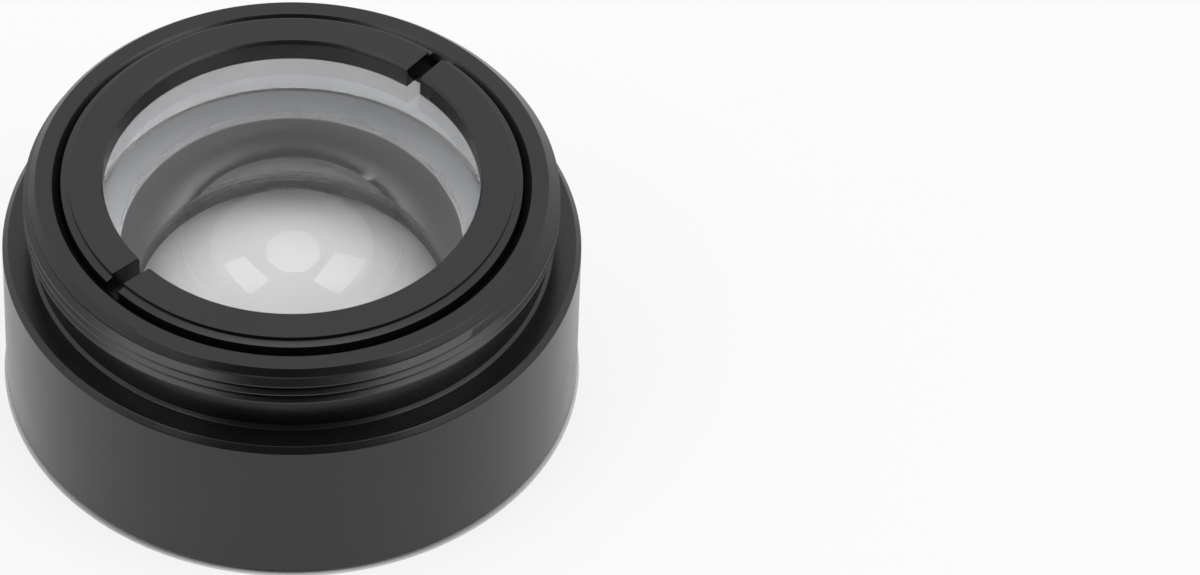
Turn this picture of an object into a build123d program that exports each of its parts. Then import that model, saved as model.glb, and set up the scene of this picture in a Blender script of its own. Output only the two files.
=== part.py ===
from build123d import *
import math
import os

# Auxiliary objective for a stereo microscope: a turned aluminium housing with a male mounting
# thread at the top and an open, threaded cup at the bottom, a cemented doublet, and the slotted
# ring that holds it in. Millimetres, +Z along the optical axis, z = 0 on the rim of the cup.

# Housing, outside
male_radius = 24.0          # crest of the mounting thread, 48 mm across
shoulder_width = 2.0        # how far the body stands out beyond the thread
body_chamfer = 0.5          # both edges of the body
neck_depth = 0.8            # relief groove between thread and shoulder
neck_length = 3.7
root_chamfer = 0.3          # root of the groove, at the shoulder
thread_length = 2.4
thread_lead = 1.1           # long lead chamfer above the thread

# Housing, cup
cup_wall = 2.4              # body to the crest of the female thread
cup_depth = 8.1
mouth_chamfer = 0.65
cup_thread_length = 5.2     # from the rim, mouth chamfer included
cup_relief = 0.7            # groove between the female thread and the floor
lip_thickness = 3.4         # floor of the cup to the seat of the glass
lip_chamfer = 0.35

# Housing, seat of the ring
neck_wall = 2.5             # groove to the ring's thread
rim_chamfer = 0.7
seat_width = 0.45           # step that carries the glass

# Retaining ring
ring_clearance = 0.1        # radial, in the housing
ring_skirt = 2.1            # wall of the threaded skirt
ring_flange = 2.15          # thickness over the glass
ring_skirt_depth = 2.0      # skirt below the flange
ring_overlap = 1.34         # how far the flange covers the glass
ring_bevel = 0.27
ring_step = 0.45            # drop from the top face to the outer land
ring_land = 0.65            # width of that land
ring_land_fall = 0.15       # slope of that land
ring_proud = 0.85           # top face above the housing's rim
slot_width = 1.55
slot_angles = (49.3, 220.0)

# Doublet
glass_height = 10.6         # seat to the circle where the ring bears
skirt_gap = 0.3             # radial, glass to skirt
glass_clearance = 0.1       # radial, glass in its pocket
top_curve = 400.0           # radius of the convex top
joint_curve = 150.0         # radius of the cemented face
bottom_curve = 21.5         # radius of the concave bottom
upper_edge = 1.4            # height of the upper element's ground edge
glass_bevel = 0.25
land_width = 2.95           # flat ground land round the concave bottom
axial_gap = 0.3             # below the skirt

# Radii, from the thread inwards
body_radius = male_radius + shoulder_width
neck_radius = male_radius - neck_depth
socket_radius = neck_radius - neck_wall
ring_radius = socket_radius - ring_clearance
skirt_radius = ring_radius - ring_skirt
glass_radius = skirt_radius - skirt_gap
pocket_radius = glass_radius + glass_clearance
lip_radius = glass_radius - seat_width
bore_radius = glass_radius - ring_overlap
dish_radius = glass_radius - land_width
cup_radius = body_radius - cup_wall
relief_radius = cup_radius + cup_relief

# Heights, from the rim of the cup upwards
seat_z = cup_depth + lip_thickness
bearing_z = seat_z + glass_height
ring_top_z = bearing_z + ring_flange
skirt_z = bearing_z - ring_skirt_depth
socket_z = skirt_z - axial_gap
rim_z = ring_top_z - ring_proud
crest_top_z = rim_z - thread_lead
crest_z = crest_top_z - thread_length
shoulder_z = crest_z - neck_length


def sag(curve, radius):
    # Depth of a spherical cap
    return curve - math.sqrt(curve ** 2 - radius ** 2)


def ball(curve, apex, side):
    # Ball that shapes a lens face, with its highest point (side 1) or lowest point (side -1) at the
    # height apex. Its poles lie sideways, clear of the face, which then gets few and even facets.
    return Pos(0, 0, apex - side * curve) * Rot(0, side * 90, 0) * Sphere(curve)


def turned(*corners):
    # Solid of revolution about Z from the corners of a closed outline in the XZ plane
    return revolve(make_face(Plane.XZ * Polyline(*corners, close=True)), Axis.Z)


face_radius = glass_radius - glass_bevel
top_apex_z = bearing_z + sag(top_curve, bore_radius)
top_edge_z = top_apex_z - sag(top_curve, face_radius)
joint_edge_z = top_edge_z - glass_bevel - upper_edge
joint_apex_z = joint_edge_z - sag(joint_curve, glass_radius)
dish_apex_z = seat_z + sag(bottom_curve, dish_radius)


def make_housing():
    return turned(
        (cup_radius + mouth_chamfer, 0),
        (body_radius - body_chamfer, 0),
        (body_radius, body_chamfer),
        (body_radius, shoulder_z - body_chamfer),
        (body_radius - body_chamfer, shoulder_z),
        (neck_radius + root_chamfer, shoulder_z),
        (neck_radius, shoulder_z + root_chamfer),
        (neck_radius, crest_z - neck_depth),
        (male_radius, crest_z),
        (male_radius, crest_top_z),
        (male_radius - thread_lead, rim_z),
        (socket_radius + rim_chamfer, rim_z),
        (socket_radius, rim_z - rim_chamfer),
        (socket_radius, socket_z),
        (pocket_radius, socket_z),
        (pocket_radius, seat_z),
        (lip_radius, seat_z),
        (lip_radius, cup_depth + lip_chamfer),
        (lip_radius + lip_chamfer, cup_depth),
        (relief_radius, cup_depth),
        (relief_radius, cup_thread_length + cup_relief),
        (cup_radius, cup_thread_length),
        (cup_radius, mouth_chamfer),
    )


def make_retaining_ring():
    step_z = ring_top_z - ring_step
    ring = turned(
        (bore_radius, bearing_z),
        (bore_radius, ring_top_z - ring_bevel),
        (bore_radius + ring_bevel, ring_top_z),
        (ring_radius - ring_land, ring_top_z),
        (ring_radius - ring_land, step_z),
        (ring_radius, step_z - ring_land_fall),
        (ring_radius, skirt_z),
        (skirt_radius, skirt_z),
        (skirt_radius, bearing_z),
    )
    # Two slots for a pin spanner, cut from the bore through the skirt's wall
    reach = 2 * (ring_radius - bore_radius)
    for angle in slot_angles:
        cutter = Box(reach, slot_width, 2 * ring_flange)
        cutter = Pos((bore_radius + ring_radius) / 2, 0, ring_top_z) * cutter
        ring -= Rot(0, 0, angle) * cutter
    return ring


def make_upper_lens():
    # Convex on both sides; the lower face is the cemented one. The blank is turned with its bevel
    # and stands a little past both faces, which two balls then cut.
    foot_z = joint_apex_z - glass_bevel
    rise = top_apex_z + glass_bevel - top_edge_z
    blank = turned(
        (0, foot_z),
        (glass_radius, foot_z),
        (glass_radius, top_edge_z - glass_bevel),
        (face_radius - rise, top_edge_z + rise),
        (0, top_edge_z + rise),
    )
    return blank & ball(top_curve, top_apex_z, 1) & ball(joint_curve, joint_apex_z, -1)


def make_lower_lens():
    # Concave on both sides, with a flat ground land that rests on the housing's seat
    blank = turned(
        (0, seat_z),
        (face_radius, seat_z),
        (glass_radius, seat_z + glass_bevel),
        (glass_radius, joint_edge_z + glass_bevel),
        (0, joint_edge_z + glass_bevel),
    )
    return blank - ball(joint_curve, joint_apex_z, -1) - ball(bottom_curve, dish_apex_z, 1)


pieces = {
    "housing": make_housing(),
    "retaining_ring": make_retaining_ring(),
    "upper_lens": make_upper_lens(),
    "lower_lens": make_lower_lens(),
}

os.makedirs("parts", exist_ok=True)
for name, piece in pieces.items():
    export_step(piece, f"parts/{name}.step")
    box = piece.bounding_box()
    print(f"{name:16s} volume {piece.volume:9.1f} mm3, z {box.min.Z:6.2f} to {box.max.Z:6.2f}")
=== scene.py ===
import math

import bmesh
import bpy
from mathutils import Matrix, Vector


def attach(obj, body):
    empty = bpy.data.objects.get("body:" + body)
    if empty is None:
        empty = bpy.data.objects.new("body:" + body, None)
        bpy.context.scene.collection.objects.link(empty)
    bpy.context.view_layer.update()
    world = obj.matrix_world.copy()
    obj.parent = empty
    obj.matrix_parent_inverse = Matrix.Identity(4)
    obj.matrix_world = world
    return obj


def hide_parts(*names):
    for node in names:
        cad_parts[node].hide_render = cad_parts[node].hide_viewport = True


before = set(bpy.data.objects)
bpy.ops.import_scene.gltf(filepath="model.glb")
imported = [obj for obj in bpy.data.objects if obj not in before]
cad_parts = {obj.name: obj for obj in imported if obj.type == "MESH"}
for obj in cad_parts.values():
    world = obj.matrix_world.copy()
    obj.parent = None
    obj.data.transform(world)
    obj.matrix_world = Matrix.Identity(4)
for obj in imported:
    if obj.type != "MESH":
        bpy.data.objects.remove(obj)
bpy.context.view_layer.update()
scene = bpy.context.scene
scene.view_settings.view_transform = "Standard"
mm = 0.001
print("stage: frame loaded")


# What several pieces share

softCorner = {"arcSteps": 4, "roomShare": 0.42, "fadeShare": 1.1, "wearReach": 0.10}


def softened(outline):
    # A closed turned outline of (radius, height, corner round), in mm, with each corner made an arc.
    # Comes back as (radius, height, wear) points, with wear 1 on the corners and 0 beside them.
    arcSteps = softCorner["arcSteps"]
    count = len(outline)
    area = sum(a[0] * b[1] - b[0] * a[1] for a, b in zip(outline, outline[1:] + outline[:1]))
    if area < 0:
        outline = outline[::-1]
    points = []
    for i in range(count):
        corner = Vector(outline[i][:2])
        before = Vector(outline[i - 1][:2]) - corner
        after = Vector(outline[(i + 1) % count][:2]) - corner
        room = softCorner["roomShare"] * min(before.length, after.length)
        toBefore, toAfter = before.normalized(), after.normalized()
        halfAngle = toBefore.angle(toAfter) / 2
        reach = min(outline[i][2] / math.tan(halfAngle), room)
        fade = min(reach + softCorner["wearReach"], softCorner["fadeShare"] * room)
        radius = reach * math.tan(halfAngle)
        centre = corner + (toBefore + toAfter).normalized() * (radius / math.sin(halfAngle))
        start = corner + toBefore * reach - centre
        finish = corner + toAfter * reach - centre
        sweep = start.angle_signed(finish)
        points.append((*(corner + toBefore * fade), 0.0))
        for step in range(arcSteps + 1):
            turn = -sweep * step / arcSteps
            spoke = Vector((start.x * math.cos(turn) - start.y * math.sin(turn),
                            start.x * math.sin(turn) + start.y * math.cos(turn)))
            points.append((*(centre + spoke), 1.0))
        points.append((*(corner + toAfter * fade), 0.0))
    return points


def turnedMesh(name, points, segments, slots=None):
    # Mesh of revolution about Z from a closed outline, given in mm as (radius, height, wear).
    # A point on the axis becomes one pole vertex. slots gives each stretch its material slot.
    rings, verts, wear = [], [], []
    for radius, height, worn in points:
        turns = 1 if radius < 1e-6 else segments
        rings.append([len(verts) + k for k in range(turns)])
        for k in range(turns):
            angle = 2 * math.pi * k / segments
            verts.append((radius * mm * math.cos(angle), radius * mm * math.sin(angle), height * mm))
            wear.append(worn)
    faces, faceSlots = [], []
    for j, low in enumerate(rings):
        high = rings[(j + 1) % len(rings)]
        if len(low) == 1 and len(high) == 1:
            continue
        for k in range(segments):
            k2 = (k + 1) % segments
            corners = [low[k % len(low)], low[k2 % len(low)], high[k2 % len(high)], high[k % len(high)]]
            faces.append(list(dict.fromkeys(corners)))
            faceSlots.append(slots[j] if slots else 0)
    mesh = bpy.data.meshes.new(name)
    mesh.from_pydata(verts, [], faces)
    mesh.attributes.new("wear", "FLOAT", "POINT").data.foreach_set("value", wear)
    mesh.polygons.foreach_set("material_index", faceSlots)
    work = bmesh.new()
    work.from_mesh(mesh)
    bmesh.ops.recalc_face_normals(work, faces=work.faces)
    work.to_mesh(mesh)
    work.free()
    piece = bpy.data.objects.new(name, mesh)
    scene.collection.objects.link(piece)
    return piece


def smoothShade(piece, angle):
    piece.data.shade_smooth()
    piece.data.set_sharp_from_angle(angle=math.radians(angle))


def baked(piece):
    # The evaluated mesh in place of the modifiers
    graph = bpy.context.evaluated_depsgraph_get()
    mesh = bpy.data.meshes.new_from_object(piece.evaluated_get(graph))
    piece.modifiers.clear()
    piece.data = mesh
    return piece


def finishPiece(piece, materials, slot, *nodes):
    # Only missing materials are added, so that the slots of the faces stay as they are
    for material in materials[len(piece.data.materials):]:
        piece.data.materials.append(material)
    if nodes:
        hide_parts(*nodes)
    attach(piece, "root")


def nodeMaker(tree):
    # Short hand for adding a node and wiring its inputs by name or number
    def add(kind, inputs=None, **settings):
        node = tree.nodes.new(kind)
        for key, value in settings.items():
            setattr(node, key, value)
        for key, value in (inputs or {}).items():
            if isinstance(value, bpy.types.NodeSocket):
                tree.links.new(value, node.inputs[key])
            else:
                node.inputs[key].default_value = value
        return node
    return add


def newMaterial(name):
    material = bpy.data.materials.new(name)
    material.use_nodes = True
    tree = material.node_tree
    return material, nodeMaker(tree), tree.nodes["Principled BSDF"], tree


def newGroup(name, kind, inputs, outputs):
    group = bpy.data.node_groups.new(name, kind)
    for label, socketKind, value in inputs:
        socket = group.interface.new_socket(label, in_out="INPUT", socket_type=socketKind)
        if value is not None:
            socket.default_value = value
    for label, socketKind in outputs:
        group.interface.new_socket(label, in_out="OUTPUT", socket_type=socketKind)
    add = nodeMaker(group)
    return group, add, add("NodeGroupInput"), add("NodeGroupOutput")


# Shader groups

grainPattern = {"markDetail": 3.0, "grainDetail": 2.0, "cloudScale": 120.0, "cloudDetail": 4.0}


def makeTurnedGrain():
    # Lathe marks that run round the axis, with a fine etched grain over them
    group, add, given, result = newGroup(
        "turnedGrain", "ShaderNodeTree",
        [("Mark Scale", "NodeSocketFloat", 9000.0), ("Grain Scale", "NodeSocketFloat", 14000.0),
         ("Marks", "NodeSocketFloat", 0.5), ("Grain", "NodeSocketFloat", 0.5)],
        [("Height", "NodeSocketFloat"), ("Cloud", "NodeSocketFloat")])
    place = add("ShaderNodeTexCoord").outputs["Object"]
    parts = add("ShaderNodeSeparateXYZ", {0: place})
    flat = add("ShaderNodeCombineXYZ", {0: parts.outputs[0], 1: parts.outputs[1]})
    radius = add("ShaderNodeVectorMath", {0: flat.outputs[0]}, operation="LENGTH").outputs["Value"]
    section = add("ShaderNodeCombineXYZ", {0: radius, 1: parts.outputs[2]})
    marks = add("ShaderNodeTexNoise", {"Vector": section.outputs[0], "Scale": given.outputs["Mark Scale"],
                                       "Detail": grainPattern["markDetail"], "Roughness": 0.6})
    grain = add("ShaderNodeTexNoise", {"Vector": place, "Scale": given.outputs["Grain Scale"],
                                       "Detail": grainPattern["grainDetail"], "Roughness": 0.55})
    cloud = add("ShaderNodeTexNoise", {"Vector": place, "Scale": grainPattern["cloudScale"],
                                       "Detail": grainPattern["cloudDetail"], "Roughness": 0.55})
    markPart = add("ShaderNodeMath", {0: marks.outputs[0], 1: given.outputs["Marks"]}, operation="MULTIPLY")
    height = add("ShaderNodeMath", {0: grain.outputs[0], 1: given.outputs["Grain"], 2: markPart.outputs[0]},
                 operation="MULTIPLY_ADD")
    group.links.new(height.outputs[0], result.inputs["Height"])
    group.links.new(cloud.outputs[0], result.inputs["Cloud"])
    return group


wearPattern = {"chipDetail": 5.0, "patchScale": 90.0, "patchShare": 0.8, "level": 1.32, "sharpness": 9.0}


def makeEdgeWear():
    # Mask of bare metal: the worn corners, broken up into chips and larger patches
    group, add, given, result = newGroup(
        "edgeWear", "ShaderNodeTree",
        [("Amount", "NodeSocketFloat", 0.5), ("Chip Scale", "NodeSocketFloat", 1500.0)],
        [("Mask", "NodeSocketFloat")])
    place = add("ShaderNodeTexCoord").outputs["Object"]
    edge = add("ShaderNodeAttribute", attribute_name="wear").outputs["Fac"]
    chips = add("ShaderNodeTexNoise", {"Vector": place, "Scale": given.outputs["Chip Scale"],
                                       "Detail": wearPattern["chipDetail"], "Roughness": 0.7})
    patches = add("ShaderNodeTexNoise", {"Vector": place, "Scale": wearPattern["patchScale"], "Detail": 2.0})
    both = add("ShaderNodeMath", {0: patches.outputs[0], 1: wearPattern["patchShare"], 2: chips.outputs[0]},
               operation="MULTIPLY_ADD")
    level = add("ShaderNodeMath", {0: wearPattern["level"], 1: given.outputs["Amount"]}, operation="SUBTRACT")
    above = add("ShaderNodeMath", {0: both.outputs[0], 1: level.outputs[0]}, operation="SUBTRACT")
    sharp = add("ShaderNodeMath", {0: above.outputs[0], 1: wearPattern["sharpness"]}, operation="MULTIPLY",
                use_clamp=True)
    mask = add("ShaderNodeMath", {0: sharp.outputs[0], 1: edge}, operation="MULTIPLY", use_clamp=True)
    group.links.new(mask.outputs[0], result.inputs["Mask"])
    return group


turnedGrain = makeTurnedGrain()
edgeWear = makeEdgeWear()


def anodise(name, look):
    # Black dyed anodised aluminium: satin, with lathe marks, and bare metal where it is rubbed
    material, add, shader, tree = newMaterial(name)
    grain = add("ShaderNodeGroup", node_tree=turnedGrain)
    grain.inputs["Mark Scale"].default_value = look["markScale"]
    grain.inputs["Grain Scale"].default_value = look["grainScale"]
    grain.inputs["Marks"].default_value = look["marks"]
    grain.inputs["Grain"].default_value = look["grain"]
    worn = add("ShaderNodeGroup", node_tree=edgeWear)
    worn.inputs["Amount"].default_value = look["wear"]
    dye = add("ShaderNodeMix", {0: grain.outputs["Cloud"], 6: look["dark"], 7: look["pale"]},
              data_type="RGBA")
    bare = add("ShaderNodeMix", {0: worn.outputs["Mask"], 6: dye.outputs[2], 7: look["bare"]},
               data_type="RGBA")
    cloudFrom, cloudTo = look["cloudRange"]
    satin = add("ShaderNodeMapRange", {0: grain.outputs["Cloud"], 1: cloudFrom, 2: cloudTo,
                                       3: look["roughness"] - look["roughnessSpread"],
                                       4: look["roughness"] + look["roughnessSpread"]})
    bump = add("ShaderNodeBump", {"Height": grain.outputs["Height"], "Strength": look["bump"],
                                  "Distance": look["bumpDepth"] * mm})
    tree.links.new(bare.outputs[2], shader.inputs["Base Color"])
    tree.links.new(satin.outputs[0], shader.inputs["Roughness"])
    tree.links.new(worn.outputs["Mask"], shader.inputs["Metallic"])
    tree.links.new(bump.outputs[0], shader.inputs["Normal"])
    return material


# Housing

housing = {
    "segments": 256,
    "bodyRadius": 26.0, "bodyChamfer": 0.5, "shoulderHeight": 16.2,
    "neckRadius": 23.2, "neckTop": 19.1, "rootChamfer": 0.3,
    "threadRoot": 23.45, "rimHeight": 23.4, "rimOuter": 22.9, "rimInner": 21.4,
    "socketRadius": 20.7, "socketFloor": 19.8, "rimChamfer": 0.7,
    "pocketRadius": 18.3, "seatHeight": 11.495, "lipRadius": 17.75, "lipChamfer": 0.35,
    "cupDepth": 8.1, "reliefRadius": 24.3, "cupRoot": 24.14, "reliefStart": 5.9, "mouthRadius": 24.25,
    "round": 0.06, "seatRound": 0.02, "reliefRound": 0.1, "smoothAngle": 40,
}
anodiseLook = {
    "dark": (0.0035, 0.0035, 0.0036, 1), "pale": (0.007, 0.0068, 0.0066, 1),
    "bare": (0.55, 0.54, 0.52, 1),
    "roughness": 0.27, "roughnessSpread": 0.03, "cloudRange": (0.3, 0.7),
    "markScale": 9000.0, "grainScale": 14000.0, "marks": 0.7, "grain": 0.5,
    "bump": 0.35, "bumpDepth": 0.01, "wear": 0.1,
}
blackHousing = anodise("blackHousing", anodiseLook)


def makeHousing():
    s = housing
    soft = s["round"]
    rootStep = s["threadRoot"] - s["neckRadius"]
    chamferFoot = s["rimHeight"] - (s["threadRoot"] - s["rimOuter"])
    outline = [
        (s["mouthRadius"], 0, soft),
        (s["bodyRadius"] - s["bodyChamfer"], 0, soft),
        (s["bodyRadius"], s["bodyChamfer"], soft),
        (s["bodyRadius"], s["shoulderHeight"] - s["bodyChamfer"], soft),
        (s["bodyRadius"] - s["bodyChamfer"], s["shoulderHeight"], soft),
        (s["neckRadius"] + s["rootChamfer"], s["shoulderHeight"], soft),
        (s["neckRadius"], s["shoulderHeight"] + s["rootChamfer"], soft),
        (s["neckRadius"], s["neckTop"], soft),
        (s["threadRoot"], s["neckTop"] + rootStep, soft),
        (s["threadRoot"], chamferFoot, soft),
        (s["rimOuter"], s["rimHeight"], soft),
        (s["rimInner"], s["rimHeight"], soft),
        (s["socketRadius"], s["rimHeight"] - s["rimChamfer"], soft),
        (s["socketRadius"], s["socketFloor"], soft),
        (s["pocketRadius"], s["socketFloor"], soft),
        (s["pocketRadius"], s["seatHeight"], s["seatRound"]),
        (s["lipRadius"], s["seatHeight"], s["seatRound"]),
        (s["lipRadius"], s["cupDepth"] + s["lipChamfer"], soft),
        (s["lipRadius"] + s["lipChamfer"], s["cupDepth"], soft),
        (s["reliefRadius"], s["cupDepth"], s["reliefRound"]),
        (s["reliefRadius"], s["reliefStart"], soft),
        (s["cupRoot"], s["reliefStart"] - (s["reliefRadius"] - s["cupRoot"]), soft),
        (s["cupRoot"], s["mouthRadius"] - s["cupRoot"], s["seatRound"]),
    ]
    piece = turnedMesh("housing_turned", softened(outline), s["segments"])
    smoothShade(piece, s["smoothAngle"])
    finishPiece(piece, [blackHousing], "housing_anodise", "housing")
    return piece


makeHousing()
print("stage: housing")


# Threads, as helical ridges that a pass of the turning tool has trimmed at both ends

# Steps of the helix in a turn, points in the section of a ridge, half its foot as a share of the
# pitch, how deep the foot is buried as a share of its height, and how fast it rises at its ends
threadMesh = {"perTurn": 160, "rows": 6, "footShare": 0.47, "buriedShare": 0.25, "growthPerTurn": 4.0,
              "smoothAngle": 30}
threadInputs = [
    ("Crest Radius", "NodeSocketFloat", 0.024), ("Root Radius", "NodeSocketFloat", 0.02345),
    ("Pitch", "NodeSocketFloat", 0.001), ("Turns", "NodeSocketFloat", 4.0),
    ("Foot Height", "NodeSocketFloat", 0.019), ("Crest Flat", "NodeSocketFloat", 0.00012),
    ("Low Cone Height", "NodeSocketFloat", 0.0199), ("High Cone Height", "NodeSocketFloat", 0.0223),
    ("Inward", "NodeSocketFloat", 0.0), ("Start Angle", "NodeSocketFloat", 0.0),
    ("Finish", "NodeSocketMaterial", None),
]


def makeThreadTree():
    group, add, given, result = newGroup(
        "helicalThread", "GeometryNodeTree",
        [("Geometry", "NodeSocketGeometry", None)] + threadInputs, [("Geometry", "NodeSocketGeometry")])
    value = given.outputs

    def calc(operation, a, b=0.0, c=0.0, clamp=False):
        return add("ShaderNodeMath", {0: a, 1: b, 2: c}, operation=operation, use_clamp=clamp).outputs[0]

    # Grid: along X the turns of the helix, along Y the points of the ridge's section
    sectionPoints = threadMesh["rows"]
    along = calc("ROUND", calc("MULTIPLY", value["Turns"], threadMesh["perTurn"]))
    grid = add("GeometryNodeMeshGrid", {"Size X": 1.0, "Size Y": 1.0, "Vertices X": along,
                                        "Vertices Y": sectionPoints})
    index = add("GeometryNodeInputIndex").outputs[0]
    column = calc("FLOOR", calc("DIVIDE", index, float(sectionPoints)))
    row = calc("MODULO", index, float(sectionPoints))
    share = calc("DIVIDE", column, calc("SUBTRACT", along, 1.0))
    turn = calc("MULTIPLY", share, value["Turns"])
    angle = calc("MULTIPLY_ADD", turn, 2 * math.pi, value["Start Angle"])
    # Section, from the lower foot up to the crest flat and down to the upper foot: rows 0 to 5
    onCrest = calc("MULTIPLY", calc("GREATER_THAN", row, 1.5), calc("LESS_THAN", row, 3.5))
    upper = calc("GREATER_THAN", row, 2.5)
    side = calc("MULTIPLY_ADD", upper, 2.0, -1.0)
    buried = calc("ADD", calc("LESS_THAN", row, 0.5), calc("GREATER_THAN", row, 4.5))
    depth = calc("SUBTRACT", value["Crest Radius"], value["Root Radius"])
    footHalf = calc("MULTIPLY", value["Pitch"], threadMesh["footShare"])
    half = calc("ADD", calc("MULTIPLY", onCrest, calc("MULTIPLY", value["Crest Flat"], 0.5)),
                calc("MULTIPLY", calc("SUBTRACT", 1.0, onCrest), footHalf))
    lift = calc("MULTIPLY_ADD", turn, value["Pitch"], value["Foot Height"])
    height = calc("MULTIPLY_ADD", side, half, lift)
    # Run-out: the ridge rises out of the root over the first and the last quarter of a turn
    fromEnd = calc("MINIMUM", turn, calc("SUBTRACT", value["Turns"], turn))
    grown = calc("MULTIPLY", fromEnd, threadMesh["growthPerTurn"], clamp=True)
    full = calc("MULTIPLY_ADD", calc("MULTIPLY", depth, onCrest), grown, value["Root Radius"])
    sunk = calc("MULTIPLY", calc("MULTIPLY", depth, -threadMesh["buriedShare"]), buried)
    radius = calc("ADD", full, sunk)
    # Trim to the two cones at the ends; the sign turns the rule round for a thread in a bore
    sign = calc("MULTIPLY_ADD", value["Inward"], -2.0, 1.0)
    below = calc("MAXIMUM", calc("SUBTRACT", value["Low Cone Height"], height), 0.0)
    above = calc("MAXIMUM", calc("SUBTRACT", height, value["High Cone Height"]), 0.0)
    limit = calc("SUBTRACT", calc("MULTIPLY", value["Crest Radius"], sign), calc("ADD", below, above))
    trimmed = calc("MULTIPLY", calc("MINIMUM", calc("MULTIPLY", radius, sign), limit), sign)
    spot = add("ShaderNodeCombineXYZ", {0: calc("MULTIPLY", trimmed, calc("COSINE", angle)),
                                        1: calc("MULTIPLY", trimmed, calc("SINE", angle)), 2: height})
    placed = add("GeometryNodeSetPosition", {"Geometry": grid.outputs[0], "Position": spot.outputs[0]})
    worn = add("GeometryNodeStoreNamedAttribute",
               {"Geometry": placed.outputs[0], "Name": "wear", "Value": onCrest},
               data_type="FLOAT", domain="POINT")
    real = add("GeometryNodeRealizeInstances", {0: worn.outputs[0]})
    dressed = add("GeometryNodeSetMaterial", {"Geometry": real.outputs[0], "Material": value["Finish"]})
    group.links.new(dressed.outputs[0], result.inputs[0])
    return group


threadTree = makeThreadTree()
maleThread = {
    "Crest Radius": 24.0 * mm, "Root Radius": 23.45 * mm, "Pitch": 1.0 * mm, "Turns": 3.9,
    "Foot Height": 19.17 * mm, "Crest Flat": 0.12 * mm, "Low Cone Height": 19.9 * mm,
    "High Cone Height": 22.3 * mm, "Inward": 0.0, "Start Angle": -math.pi / 2, "Finish": blackHousing,
}
cupThread = {
    "Crest Radius": 23.6 * mm, "Root Radius": 24.14 * mm, "Pitch": 1.0 * mm, "Turns": 4.7,
    "Foot Height": 0.5 * mm, "Crest Flat": 0.12 * mm, "Low Cone Height": 0.65 * mm,
    "High Cone Height": 5.2 * mm, "Inward": 1.0, "Start Angle": 0.6, "Finish": blackHousing,
}


def makeThread(name, sizes):
    piece = bpy.data.objects.new(name, bpy.data.meshes.new(name))
    scene.collection.objects.link(piece)
    modifier = piece.modifiers.new("helix", "NODES")
    modifier.node_group = threadTree
    for item in threadTree.interface.items_tree:
        if item.in_out == "INPUT" and item.name in sizes:
            modifier[item.identifier] = sizes[item.name]
    baked(piece)
    work = bmesh.new()
    work.from_mesh(piece.data)
    # The buried foot and the two ends are closed, so that the ridge is a solid
    work.verts.ensure_lookup_table()
    rows = threadMesh["rows"]
    columns = len(work.verts) // rows
    for k in range(columns - 1):
        foot = (k * rows, (k + 1) * rows, (k + 2) * rows - 1, (k + 1) * rows - 1)
        work.faces.new([work.verts[i] for i in foot])
    for k in (0, columns - 1):
        work.faces.new([work.verts[k * rows + i] for i in range(rows)])
    bmesh.ops.recalc_face_normals(work, faces=work.faces)
    work.to_mesh(piece.data)
    work.free()
    smoothShade(piece, threadMesh["smoothAngle"])
    finishPiece(piece, [blackHousing], "housing_anodise")
    return piece


makeThread("male_thread_ridge", maleThread)
makeThread("cup_thread_ridge", cupThread)
print("stage: threads")


# Retaining ring

ring = {
    "columns": 256, "boreRadius": 16.86, "bearing": 22.1, "topHeight": 24.25, "bevel": 0.27,
    "outerRadius": 20.6, "landWidth": 0.65, "landStep": 0.45, "landFall": 0.15,
    "skirtFoot": 20.1, "skirtRadius": 18.5, "round": 0.05, "bearingRound": 0.02, "smoothAngle": 35,
    "slotWidth": 1.55, "slotAngles": (49.3, 220.0), "slotRound": 0.06, "slotRoundSteps": 4,
    "slotInset": 0.9, "slotFade": 0.12, "slotApron": 1.4, "apronGap": 0.9,
}
ringLook = dict(anodiseLook, wear=0.05, markScale=7000.0, roughness=0.3)
blackRing = anodise("blackRing", ringLook)


def ringColumns():
    # Columns of the ring's mesh as (angle, offset, inset, wear, state). Beside a slot they run at an
    # offset from its centre line, not through the axis, so that its walls come out parallel.
    s = ring
    half, soft, fade = s["slotWidth"] / 2, s["slotRound"], s["slotFade"]
    middle = (s["boreRadius"] + s["outerRadius"]) / 2
    apron, steps = half + s["slotApron"], s["slotRoundSteps"]
    ramp = [(apron, 0, 0), (half + soft + 2 * fade, 0, 0), (half + soft + fade, 0, 0)]
    for step in range(steps + 1):
        turn = math.radians(90 / steps * step)
        ramp.append((half + soft * (1 - math.sin(turn)), s["slotInset"] * soft * (1 - math.cos(turn)), 1))
    columns = []
    for slotAngle in s["slotAngles"]:
        columns += [(slotAngle, -offset, inset, worn, "flange") for offset, inset, worn in ramp[:-1]]
        columns.append((slotAngle, -half, ramp[-1][1], 1, "wall"))
        columns += [(slotAngle, half * share, 0, 0, "slot") for share in (-0.5, 0.0, 0.5)]
        columns.append((slotAngle, half, ramp[-1][1], 1, "wall"))
        columns += [(slotAngle, offset, inset, worn, "flange") for offset, inset, worn in ramp[-2::-1]]
    reach = math.degrees(math.asin(apron / middle)) + s["apronGap"]
    for k in range(s["columns"]):
        angle = 360 * k / s["columns"]
        if all(abs((angle - slotAngle + 180) % 360 - 180) > reach for slotAngle in s["slotAngles"]):
            columns.append((angle, 0.0, 0, 0, "flange"))
    return sorted(columns, key=lambda c: (c[0] + math.degrees(math.asin(c[1] / middle))) % 360)


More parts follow.
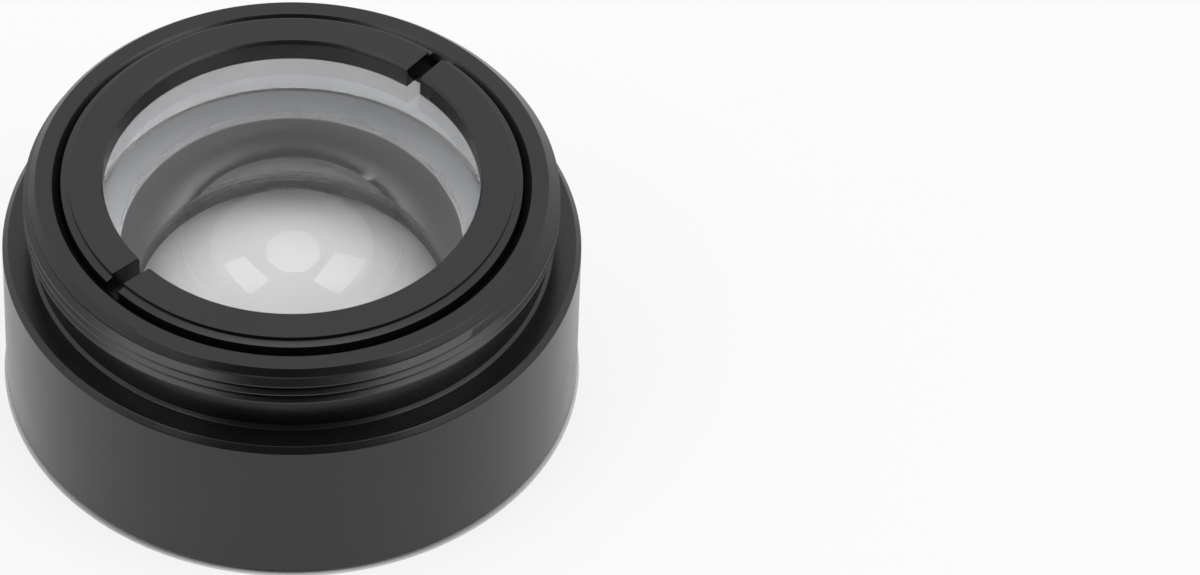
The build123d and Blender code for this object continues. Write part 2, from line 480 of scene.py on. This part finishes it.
def makeRing():
    s = ring
    stepHeight = s["topHeight"] - s["landStep"]
    soft, cornerPoints = s["round"], softCorner["arcSteps"] + 3
    points = softened([
        (s["skirtRadius"], s["bearing"], s["bearingRound"]), (s["skirtRadius"], s["skirtFoot"], soft),
        (s["outerRadius"], s["skirtFoot"], soft), (s["outerRadius"], stepHeight - s["landFall"], soft),
        (s["outerRadius"] - s["landWidth"], stepHeight, soft),
        (s["outerRadius"] - s["landWidth"], s["topHeight"], soft),
        (s["boreRadius"] + s["bevel"], s["topHeight"], soft),
        (s["boreRadius"], s["topHeight"] - s["bevel"], soft), (s["boreRadius"], s["bearing"], soft),
    ])
    # The skirt runs all the way round; the flange on it stops at the slots, whose floor is its top
    floorInside = (s["skirtRadius"], s["bearing"], 0.0)
    floorOutside = (s["outerRadius"], s["bearing"], 0.0)
    skirt = [floorInside] + points[cornerPoints:3 * cornerPoints] + [floorOutside]
    section = skirt + points[3 * cornerPoints:]
    size, floorEnd = len(section), len(skirt) - 1
    columns = ringColumns()
    states = [column[4] for column in columns]
    verts, wear, grid, faces, flat = [], [], [], [], []
    for angle, offset, inset, worn, state in columns:
        cells = []
        for i, (radius, height, edge) in enumerate(section):
            if state == "slot" and i > floorEnd:
                cells.append(None)
                continue
            if i > floorEnd and height > s["bearing"] + s["landWidth"]:
                before, after = Vector(section[i - 1][:2]), Vector(section[(i + 1) % size][:2])
                along = (after - before).normalized()
                radius, height = radius - along.y * inset, height + along.x * inset
            turn = math.radians(angle) + math.asin(offset / radius)
            cells.append(len(verts))
            verts.append((radius * mm * math.cos(turn), radius * mm * math.sin(turn), height * mm))
            wear.append(max(edge, worn) if i > floorEnd else 0.0)
        grid.append(cells)
    for k, here in enumerate(grid):
        there, nextState = grid[(k + 1) % len(grid)], states[(k + 1) % len(grid)]
        inSlot = "slot" in (states[k], nextState)
        for i in range(floorEnd if inSlot else size):
            j = (i + 1) % size
            faces.append((here[i], there[i], there[j], here[j]))
            flat.append(False)
        if inSlot:
            faces.append((here[floorEnd], there[floorEnd], there[0], here[0]))
            flat.append(False)
        if states[k] == "wall":
            faces.append(tuple(here[floorEnd:] + [here[0]]))
            flat.append(True)
    mesh = bpy.data.meshes.new("retaining_ring_turned")
    mesh.from_pydata(verts, [], faces)
    mesh.attributes.new("wear", "FLOAT", "POINT").data.foreach_set("value", wear)
    work = bmesh.new()
    work.from_mesh(mesh)
    bmesh.ops.recalc_face_normals(work, faces=work.faces)
    work.to_mesh(mesh)
    work.free()
    piece = bpy.data.objects.new("retaining_ring_turned", mesh)
    scene.collection.objects.link(piece)
    smoothShade(piece, s["smoothAngle"])
    for face, isFlat in zip(mesh.polygons, flat):
        face.use_smooth = not isFlat
    finishPiece(piece, [blackRing], "ring_anodise", "retaining_ring")
    return piece


makeRing()
print("stage: retaining ring")


# Cemented doublet

doublet = {
    "segments": 192, "capSteps": 28, "glassRadius": 18.2, "bevel": 0.25,
    "seat": 11.5, "bearing": 22.1, "bearingRadius": 16.86, "dishRadius": 15.25,
    "topCurve": 400.0, "bottomCurve": 21.5, "jointCurve": 150.0, "upperEdge": 1.4,
    "index": 1.54, "smoothAngle": 20,
}


def sag(curve, radius):
    return curve - math.sqrt(curve ** 2 - radius ** 2)


def makeGlass(name, index, gloss):
    # Polished glass. Shadow rays go straight through it, so that the lamps light what lies inside.
    material, add, shader, tree = newMaterial(name)
    shader.inputs["Base Color"].default_value = (1.0, 1.0, 1.0, 1)
    shader.inputs["Transmission Weight"].default_value = 1.0
    shader.inputs["Roughness"].default_value = 0.0
    shader.inputs["IOR"].default_value = index
    shader.inputs["Specular IOR Level"].default_value = gloss
    path = add("ShaderNodeLightPath")
    solid = add("ShaderNodeMath", {0: 1.0, 1: path.outputs["Is Shadow Ray"]}, operation="SUBTRACT")
    tree.links.new(solid.outputs[0], shader.inputs["Alpha"])
    return material


def makeCement(name):
    # The cement has the glass's own index, so nothing shows where the two elements meet
    material, _, shader, _ = newMaterial(name)
    shader.inputs["Alpha"].default_value = 0.0
    shader.inputs["IOR"].default_value = doublet["index"]
    return material


def makeFrost(name, look):
    # A ground face: rough glass that scatters, with the grey cloud that grinding leaves
    material, add, shader, tree = newMaterial(name)
    place = add("ShaderNodeTexCoord").outputs["Object"]
    cloud = add("ShaderNodeTexNoise", {"Vector": place, "Scale": look["cloudScale"], "Detail": 2.0})
    colour = add("ShaderNodeMix", {0: cloud.outputs[0], 6: look["dark"], 7: look["pale"]}, data_type="RGBA")
    tree.links.new(colour.outputs[2], shader.inputs["Base Color"])
    shader.inputs["Roughness"].default_value = look["roughness"]
    shader.inputs["Transmission Weight"].default_value = look["through"]
    shader.inputs["IOR"].default_value = doublet["index"]
    return material


edgeLook = {"pale": (1.0, 1.0, 0.98, 1), "dark": (0.94, 0.94, 0.93, 1), "cloudScale": 300.0,
            "roughness": 0.5, "through": 1.0}
landLook = {"pale": (0.90, 0.93, 0.98, 1), "dark": (0.84, 0.87, 0.92, 1), "cloudScale": 300.0,
            "roughness": 0.75, "through": 0.85}
polish = {"topGloss": 0.15, "dishGloss": 0.4}
coatedTop = makeGlass("coatedTop", doublet["index"], polish["topGloss"])
polishedDish = makeGlass("polishedDish", doublet["index"], polish["dishGloss"])
cemented = makeCement("cementedFace")
groundEdge = makeFrost("groundEdge", edgeLook)
groundLand = makeFrost("groundLand", landLook)
glassFinishes = [coatedTop, groundEdge, groundLand, polishedDish, cemented]
topSlot, edgeSlot, landSlot, dishSlot, cementSlot = range(5)


def capPoints(curve, apex, rises, radius, steps):
    # Points of a spherical cap from the axis outwards, in equal steps of radius
    return [(radius * k / steps, apex - rises * sag(curve, radius * k / steps), 0.0)
            for k in range(steps + 1)]


def makeLenses():
    s = doublet
    faceRadius = s["glassRadius"] - s["bevel"]
    topApex = s["bearing"] + sag(s["topCurve"], s["bearingRadius"])
    topEdge = topApex - sag(s["topCurve"], faceRadius)
    jointEdge = topEdge - s["bevel"] - s["upperEdge"]
    jointApex = jointEdge - sag(s["jointCurve"], s["glassRadius"])
    dishApex = s["seat"] + sag(s["bottomCurve"], s["dishRadius"])
    top = capPoints(s["topCurve"], topApex, 1, faceRadius, s["capSteps"])
    joint = capPoints(s["jointCurve"], jointApex, -1, s["glassRadius"], s["capSteps"])
    dish = capPoints(s["bottomCurve"], dishApex, 1, s["dishRadius"], s["capSteps"])
    upper = top + [(s["glassRadius"], topEdge - s["bevel"], 0.0)] + joint[::-1]
    upperSlots = [topSlot] * s["capSteps"] + [edgeSlot] * 2 + [cementSlot] * (s["capSteps"] + 1)
    foot = [(s["glassRadius"], s["seat"] + s["bevel"], 0.0), (faceRadius, s["seat"], 0.0)]
    lower = joint + foot + dish[::-1]
    lowerSlots = [cementSlot] * s["capSteps"] + [edgeSlot] * 2 + [landSlot]
    lowerSlots += [dishSlot] * (s["capSteps"] + 1)
    for name, points, slots, slot in (("upper_lens_ground", upper, upperSlots, "upper_glass"),
                                      ("lower_lens_ground", lower, lowerSlots, "lower_glass")):
        piece = turnedMesh(name, points, s["segments"], slots)
        smoothShade(piece, s["smoothAngle"])
        finishPiece(piece, glassFinishes, slot, name.replace("_ground", ""))


makeLenses()
print("stage: lenses")


# Stage: a pale table, softboxes and white surroundings

studio = {
    "tableSize": 4.0, "tableDrop": 0.00002, "tableColour": (0.92, 0.92, 0.92, 1), "tableRoughness": 0.6,
    "tableGlow": 0.8, "footprint": 0.0262, "roomLight": 0.6,
    "dimSide": (0.0, -0.70, 0.71), "dimFrom": 0.50, "dimTo": 0.77, "dimLevel": 0.04,
}


def makeTable():
    bpy.ops.mesh.primitive_plane_add(size=studio["tableSize"], location=(0, 0, -studio["tableDrop"]))
    table = bpy.context.object
    table.name = "table"
    material, add, shader, tree = newMaterial("tableTop")
    shader.inputs["Base Color"].default_value = studio["tableColour"]
    shader.inputs["Roughness"].default_value = studio["tableRoughness"]
    path = add("ShaderNodeLightPath")
    seen = add("ShaderNodeMath", {0: path.outputs["Is Camera Ray"], 1: path.outputs["Is Glossy Ray"]},
               operation="MAXIMUM")
    seen = add("ShaderNodeMath", {0: seen.outputs[0], 1: path.outputs["Is Transmission Ray"]},
               operation="MAXIMUM")
    place = add("ShaderNodeTexCoord").outputs["Object"]
    reach = add("ShaderNodeVectorMath", {0: place}, operation="LENGTH")
    outside = add("ShaderNodeMath", {0: reach.outputs["Value"], 1: studio["footprint"]},
                  operation="GREATER_THAN")
    glow = add("ShaderNodeMath", {0: seen.outputs[0], 1: outside.outputs[0]}, operation="MULTIPLY")
    amount = add("ShaderNodeMath", {0: glow.outputs[0], 1: studio["tableGlow"]}, operation="MULTIPLY")
    light = add("ShaderNodeEmission", {"Color": (1, 1, 1, 1), "Strength": 1.0})
    mixed = add("ShaderNodeMixShader", {0: amount.outputs[0], 1: shader.outputs[0], 2: light.outputs[0]})
    tree.links.new(mixed.outputs[0], tree.nodes["Material Output"].inputs["Surface"])
    table.data.materials.append(material)


def makeRoom():
    # White surroundings, apart from the dim side of the room that the camera stands in
    world = bpy.data.worlds.new("room")
    scene.world = world
    world.use_nodes = True
    tree = world.node_tree
    tree.nodes.clear()
    add = nodeMaker(tree)
    path = add("ShaderNodeLightPath")
    mirrored = add("ShaderNodeMath",
                   {0: path.outputs["Is Glossy Ray"], 1: path.outputs["Is Transmission Ray"]},
                   operation="MAXIMUM")
    direction = add("ShaderNodeTexCoord").outputs["Generated"]
    towards = add("ShaderNodeVectorMath", {0: direction, 1: studio["dimSide"]}, operation="DOT_PRODUCT")
    bright = add("ShaderNodeMapRange",
                 {0: towards.outputs["Value"], 1: studio["dimFrom"], 2: studio["dimTo"],
                  3: 1.0, 4: studio["dimLevel"]}, interpolation_type="SMOOTHSTEP")
    level = add("ShaderNodeMapRange", {0: mirrored.outputs[0], 3: studio["roomLight"], 4: 1.0})
    lit = add("ShaderNodeMath", {0: level.outputs[0], 1: bright.outputs[0]}, operation="MULTIPLY")
    surroundings = add("ShaderNodeBackground", {"Color": (1, 1, 1, 1), "Strength": lit.outputs[0]})
    white = add("ShaderNodeBackground", {"Color": (1, 1, 1, 1), "Strength": 1.0})
    mixed = add("ShaderNodeMixShader", {0: path.outputs["Is Camera Ray"], 1: surroundings.outputs[0],
                                        2: white.outputs[0]})
    out = add("ShaderNodeOutputWorld")
    tree.links.new(mixed.outputs[0], out.inputs["Surface"])


def makeSoftbox(name, corners, strength):
    # A flat lit panel that faces the object; corners are in metres
    mesh = bpy.data.meshes.new(name)
    mesh.from_pydata(corners, [], [list(range(len(corners)))])
    panel = bpy.data.objects.new(name, mesh)
    scene.collection.objects.link(panel)
    material, add, shader, tree = newMaterial(name)
    light = add("ShaderNodeEmission", {"Color": (1, 1, 1, 1), "Strength": strength})
    tree.links.new(light.outputs[0], tree.nodes["Material Output"].inputs["Surface"])
    mesh.materials.append(material)
    panel.visible_camera = False


softboxes = {
    "overheadHeight": 1.0, "overheadRadius": 0.36, "overheadCentre": (0.02, 0.01),
    "overheadStrength": 2.6,
    "sideDistance": 1.0, "sideStrength": 3.0, "lensHeight": 0.018,
    # Corners of the side panels, as directions from the glass
    "leftCorners": ((-1.32, -0.17, 1), (-0.69, -0.04, 1), (-0.31, -0.47, 1), (-0.80, -0.91, 1)),
    "rightCorners": ((0.60, 0.03, 1), (1.70, -0.05, 1), (0.93, -0.95, 1), (0.30, -0.49, 1)),
}


def makeLamps():
    s = softboxes
    centreX, centreY = s["overheadCentre"]
    octagon = [(centreX + s["overheadRadius"] * math.cos(math.radians(45 * k + 22.5)),
                centreY + s["overheadRadius"] * math.sin(math.radians(45 * k + 22.5)),
                s["overheadHeight"]) for k in range(8)]
    makeSoftbox("overheadSoftbox", octagon, s["overheadStrength"])
    for name, key in (("leftSoftbox", "leftCorners"), ("rightSoftbox", "rightCorners")):
        rays = [Vector(corner) for corner in s[key]]
        axis = sum(rays, Vector()).normalized()
        corners = [ray * (s["sideDistance"] / ray.dot(axis)) for ray in rays]
        makeSoftbox(name, [c + Vector((0, 0, s["lensHeight"])) for c in corners], s["sideStrength"])


makeTable()
makeRoom()
makeLamps()
print("stage: table, room and lamps")


# Camera, at the photograph's angle

view = {
    "target": (0.0, 0.0, 0.0234), "elevation": 45.45, "distance": 0.674, "lens": 227.0,
    "targetPixel": (291.8, 181.15), "frame": (1200, 575), "clip": (0.05, 20.0),
}


def makeCamera():
    data = bpy.data.cameras.new("camera")
    camera = bpy.data.objects.new("camera", data)
    scene.collection.objects.link(camera)
    rise = math.radians(view["elevation"])
    away = Vector((0, -math.cos(rise), math.sin(rise)))
    camera.location = Vector(view["target"]) + view["distance"] * away
    camera.rotation_euler = (math.pi / 2 - rise, 0, 0)
    data.lens = view["lens"]
    width, height = view["frame"]
    data.shift_x = (width / 2 - view["targetPixel"][0]) / width
    data.shift_y = (view["targetPixel"][1] - height / 2) / width
    data.clip_start, data.clip_end = view["clip"]
    scene.camera = camera


makeCamera()
print("stage: camera")
